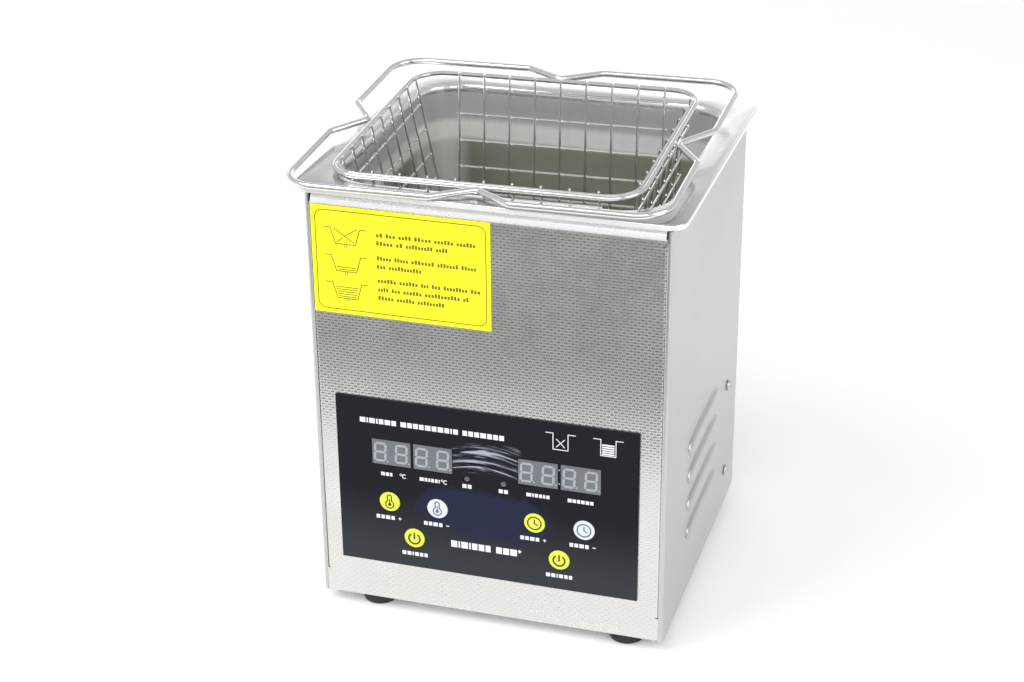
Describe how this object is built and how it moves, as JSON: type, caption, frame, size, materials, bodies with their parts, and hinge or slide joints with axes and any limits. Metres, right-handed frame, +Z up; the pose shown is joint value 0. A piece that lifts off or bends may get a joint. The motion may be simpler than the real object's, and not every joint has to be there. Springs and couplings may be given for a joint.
{
  "type": "ultrasonic cleaner",
  "caption": "Bench-top ultrasonic cleaner: a folded steel case with a drawn tank, a hanging wire basket, and a front panel with displays and round keys.",
  "frame": {"origin": "on the floor, under the middle of the bounding box of the case and its basket", "axes": "+Z up, -Y toward the user in front of the control panel, +X to the user's right"},
  "size_m": [0.1936, 0.1799, 0.2415],
  "materials": {
    "embossed_steel": "embossed with rows of short dashes, satin",
    "satin_steel": "satin",
    "polished_steel": "polished",
    "plated_steel": "zinc plated",
    "aluminium": "machined",
    "black_rubber": "matt, moulded",
    "grey_silicone": "matt",
    "dark_overlay": "printed film, satin",
    "yellow_label": "printed film, satin",
    "yellow_key": "printed film, satin",
    "white_key": "printed film, satin",
    "grey_display": "smooth",
    "clear_lamp": "water clear",
    "green_laminate": "solder-masked glass laminate",
    "white_nylon": "moulded",
    "piezo_ceramic": "fired, silvered faces",
    "orange_silicone": "matt",
    "transformer_tape": "taped ferrite core",
    "capacitor_sleeve": "shrink sleeve",
    "black_plastic": "moulded, fine grain",
    "rocker_black": "smooth"
  },
  "bodies": {
    "case": {"front_panel": "embossed_steel", "left_side_panel": "satin_steel", "right_side_panel": "satin_steel", "rear_panel": "satin_steel", "base_plate": "satin_steel", "front_left_foot": "black_rubber", "front_right_foot": "black_rubber", "rear_left_foot": "black_rubber", "rear_right_foot": "black_rubber", "left_lower_screw": "plated_steel", "left_upper_screw": "plated_steel", "right_lower_screw": "plated_steel", "right_upper_screw": "plated_steel", "tank": "polished_steel", "tank_seal": "grey_silicone", "transducer_front_mass": "aluminium", "upper_piezo_ring": "piezo_ceramic", "lower_piezo_ring": "piezo_ceramic", "transducer_back_mass": "plated_steel", "transducer_bolt": "plated_steel", "heating_pad": "orange_silicone", "thermal_cutout": "plated_steel", "control_overlay": "dark_overlay", "label_plate": "yellow_label", "set_temperature_display": "grey_display", "actual_temperature_display": "grey_display", "minute_display": "grey_display", "second_display": "grey_display", "heater_lamp": "clear_lamp", "ultrasonic_lamp": "clear_lamp", "control_board": "green_laminate", "control_board_spacer_1": "white_nylon", "control_board_spacer_2": "white_nylon", "control_board_spacer_3": "white_nylon", "control_board_spacer_4": "white_nylon", "generator_board": "green_laminate", "generator_board_spacer_1": "white_nylon", "generator_board_spacer_2": "white_nylon", "generator_board_spacer_3": "white_nylon", "generator_board_spacer_4": "white_nylon", "transformer": "transformer_tape", "capacitor": "capacitor_sleeve", "heatsink": "aluminium", "mains_inlet": "black_plastic", "rocker_housing": "black_plastic"},
    "basket": {"basket_rim": "polished_steel", "basket_frame": "polished_steel", "basket_back_wall": "polished_steel", "basket_left_wall": "polished_steel", "basket_front_wall": "polished_steel", "basket_right_wall": "polished_steel", "basket_floor": "polished_steel"},
    "temperature_up_key_body": {"temperature_up_key": "yellow_key"},
    "temperature_down_key_body": {"temperature_down_key": "white_key"},
    "heater_power_key_body": {"heater_power_key": "yellow_key"},
    "time_up_key_body": {"time_up_key": "yellow_key"},
    "time_down_key_body": {"time_down_key": "white_key"},
    "ultrasonic_power_key_body": {"ultrasonic_power_key": "yellow_key"},
    "rocker_body": {"rocker": "rocker_black"},
    "fuse_drawer_body": {"fuse_drawer": "black_plastic"}
  },
  "joints": [
    {"name": "basket_lift", "type": "slide", "parent": "case", "child": "basket", "axis": [0, 0, 1], "range_m": [0, 0.12]},
    {"name": "temperature_up_key_press", "type": "slide", "parent": "case", "child": "temperature_up_key_body", "axis": [0, 1, 0], "range_m": [0, 0.0004], "stiffness_N_per_m": 3000},
    {"name": "temperature_down_key_press", "type": "slide", "parent": "case", "child": "temperature_down_key_body", "axis": [0, 1, 0], "range_m": [0, 0.0004], "stiffness_N_per_m": 3000},
    {"name": "heater_power_key_press", "type": "slide", "parent": "case", "child": "heater_power_key_body", "axis": [0, 1, 0], "range_m": [0, 0.0004], "stiffness_N_per_m": 3000},
    {"name": "time_up_key_press", "type": "slide", "parent": "case", "child": "time_up_key_body", "axis": [0, 1, 0], "range_m": [0, 0.0004], "stiffness_N_per_m": 3000},
    {"name": "time_down_key_press", "type": "slide", "parent": "case", "child": "time_down_key_body", "axis": [0, 1, 0], "range_m": [0, 0.0004], "stiffness_N_per_m": 3000},
    {"name": "ultrasonic_power_key_press", "type": "slide", "parent": "case", "child": "ultrasonic_power_key_body", "axis": [0, 1, 0], "range_m": [0, 0.0004], "stiffness_N_per_m": 3000},
    {"name": "rocker_pivot", "type": "hinge", "parent": "case", "child": "rocker_body", "pos_m": [-0.0395, 0.0851, 0.048], "axis": [1, 0, 0], "range_deg": [0, 24]},
    {"name": "fuse_drawer_slide", "type": "slide", "parent": "case", "child": "fuse_drawer_body", "axis": [0, 1, 0], "range_m": [0, 0.012]}
  ]
}
